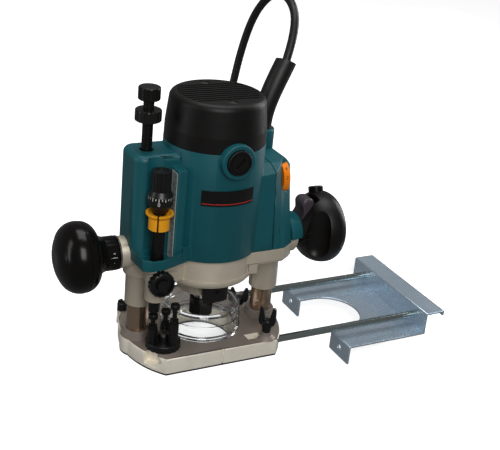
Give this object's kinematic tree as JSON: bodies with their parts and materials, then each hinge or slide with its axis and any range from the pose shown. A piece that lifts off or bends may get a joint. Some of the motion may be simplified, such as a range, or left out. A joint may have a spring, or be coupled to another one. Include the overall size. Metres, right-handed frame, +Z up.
{
  "type": "plunge router",
  "caption": "Two-post plunge router with black ball handles, a turret depth stop, a clear chip guard, a slotted motor cap and a plated parallel side guide.",
  "frame": {"origin": "on the spindle axis, at the underside of the sole", "axes": "+Z up along the spindle and the posts; +X along the posts, the handles and the guide rods, towards the side guide; -Y is the front, with the flat edge of the base"},
  "size_m": [0.3585, 0.3569, 0.3072],
  "materials": {
    "casting": "satin cast and painted",
    "sole": "smooth black phenolic",
    "steel": "machined",
    "post_chrome": "polished, dark",
    "clear_plastic": "clear polycarbonate",
    "black_plastic": "fine satin",
    "black_gloss": "polished knob",
    "blackened_steel": "blackened",
    "zinc_steel": "bright zinc plate",
    "teal_plastic": "fine satin",
    "orange_plastic": "smooth",
    "yellow_plastic": "smooth",
    "trigger_grey": "fine satin",
    "label": "printed film",
    "scale_plate": "printed",
    "copper": "enamelled wire",
    "lamination": "stacked sheet",
    "bronze": "sintered",
    "carbon": "graphite",
    "brass": "drawn",
    "nylon_black": "smooth nylon",
    "cord_rubber": "satin",
    "board": "circuit board"
  },
  "bodies": {
    "base": {"base_casting": "casting", "base_sole": "sole", "sole_screws": "steel", "left_post": "post_chrome", "right_post": "post_chrome", "chip_guard": "clear_plastic", "limit_bolt": "blackened_steel", "turret_screw": "steel", "cord_coil": "cord_rubber", "cord_tube": "cord_rubber", "plug_body": "cord_rubber", "plug_pins": "steel"},
    "limit_nut": {"limit_nut": "nylon_black"},
    "side_guide": {"guide_plate": "zinc_steel", "guide_rods": "zinc_steel", "guide_screws": "steel"},
    "stopper_block": {"stopper_block": "black_plastic", "stopper_bolts": "blackened_steel"},
    "front_right_wing_bolt": {"front_right_wing_bolt": "black_plastic"},
    "back_right_wing_bolt": {"back_right_wing_bolt": "black_plastic"},
    "back_left_wing_bolt": {"back_left_wing_bolt": "black_plastic"},
    "motor_unit": {"gear_housing": "casting", "sleeve_bushes": "bronze", "plunge_springs": "steel", "motor_housing": "teal_plastic", "right_cover": "teal_plastic", "motor_screws": "steel", "top_cap": "black_plastic", "label_plate": "label", "depth_scale": "scale_plate", "stator_core": "lamination", "field_coils": "copper", "carbon_brushes": "carbon", "brush_holders": "brass", "brush_caps": "black_plastic", "lower_bearing": "steel", "upper_bearing": "steel", "speed_control": "board", "collar_ring": "steel", "handle_grip": "black_plastic", "handle_cap": "black_plastic", "trigger_switch": "black_plastic", "cord_guard": "cord_rubber"},
    "spindle": {"spindle": "steel", "collet": "steel", "collet_nut": "blackened_steel", "armature_core": "lamination", "armature_windings": "copper", "commutator": "copper", "fan": "black_plastic"},
    "stopper_pole": {"stopper_pole": "blackened_steel"},
    "depth_knob": {"depth_knob": "black_plastic"},
    "depth_pointer": {"depth_pointer": "yellow_plastic"},
    "setting_knob": {"setting_knob": "black_plastic"},
    "shaft_lock": {"shaft_lock": "black_plastic"},
    "speed_dial": {"speed_dial": "orange_plastic"},
    "lock_knob": {"lock_knob": "black_gloss", "lock_knob_cap": "black_gloss"},
    "trigger": {"trigger": "trigger_grey"},
    "lock_off_button": {"lock_off_button": "black_gloss"}
  },
  "joints": [
    {"name": "plunge", "type": "slide", "parent": "base", "child": "motor_unit", "axis": [0, 0, 1], "range_m": [-0.0025, 0.0235], "deforming": ["plunge_springs", "cord_tube"]},
    {"name": "limit_nut_travel", "type": "slide", "parent": "base", "child": "limit_nut", "axis": [0, 0, 1], "range_m": [0, 0.0062]},
    {"name": "guide_slide", "type": "slide", "parent": "base", "child": "side_guide", "axis": [1, 0, 0], "range_m": [-0.035, 0.035]},
    {"name": "stopper_block_turn", "type": "hinge", "parent": "base", "child": "stopper_block", "pos_m": [-0.0482, -0.03, 0.02], "axis": [0, 0, 1], "range_deg": [-50, 40]},
    {"name": "front_right_wing_turn", "type": "hinge", "parent": "base", "child": "front_right_wing_bolt", "pos_m": [0.0445, -0.042, 0.025], "axis": [0, 0, 1], "range_deg": [0, 180]},
    {"name": "back_right_wing_turn", "type": "hinge", "parent": "base", "child": "back_right_wing_bolt", "pos_m": [0.0475, 0.018, 0.025], "axis": [0, 0, 1], "range_deg": [0, 180]},
    {"name": "back_left_wing_turn", "type": "hinge", "parent": "base", "child": "back_left_wing_bolt", "pos_m": [-0.0575, 0.042, 0.02], "axis": [0, 0, 1], "range_deg": [0, 180]},
    {"name": "spindle_spin", "type": "hinge", "parent": "motor_unit", "child": "spindle", "pos_m": [0, 0, 0.1], "axis": [0, 0, 1], "continuous": true},
    {"name": "stopper_pole_slide", "type": "slide", "parent": "motor_unit", "child": "stopper_pole", "axis": [0, 0, 1], "range_m": [0, 0.016]},
    {"name": "depth_knob_turn", "type": "hinge", "parent": "stopper_pole", "child": "depth_knob", "pos_m": [-0.0584, -0.03, 0.165], "axis": [0, 0, 1], "continuous": true},
    {"name": "depth_pointer_slide", "type": "slide", "parent": "stopper_pole", "child": "depth_pointer", "axis": [0, 0, 1], "range_m": [-0.018, 0]},
    {"name": "setting_knob_turn", "type": "hinge", "parent": "motor_unit", "child": "setting_knob", "pos_m": [-0.0584, -0.042, 0.084], "axis": [0, 1, 0], "range_deg": [-180, 180]},
    {"name": "shaft_lock_press", "type": "slide", "parent": "motor_unit", "child": "shaft_lock", "axis": [0, 1, 0], "range_m": [0, 0.0028], "stiffness_N_per_m": 900, "springref_m": -0.003},
    {"name": "speed_dial_turn", "type": "hinge", "parent": "motor_unit", "child": "speed_dial", "pos_m": [0.065, 0.0002, 0.15], "axis": [1, 0, 0], "range_deg": [-120, 150]},
    {"name": "lock_knob_turn", "type": "hinge", "parent": "motor_unit", "child": "lock_knob", "pos_m": [-0.1, 0, 0.096], "axis": [1, 0, 0], "range_deg": [0, 75]},
    {"name": "trigger_pull", "type": "slide", "parent": "motor_unit", "child": "trigger", "axis": [1, 0, 0], "range_m": [0, 0.004], "stiffness_N_per_m": 600, "springref_m": -0.003},
    {"name": "lock_off_button_press", "type": "slide", "parent": "motor_unit", "child": "lock_off_button", "axis": [0, -0.342, -0.9397], "range_m": [0, 0.003], "stiffness_N_per_m": 500, "springref_m": -0.003}
  ]
}
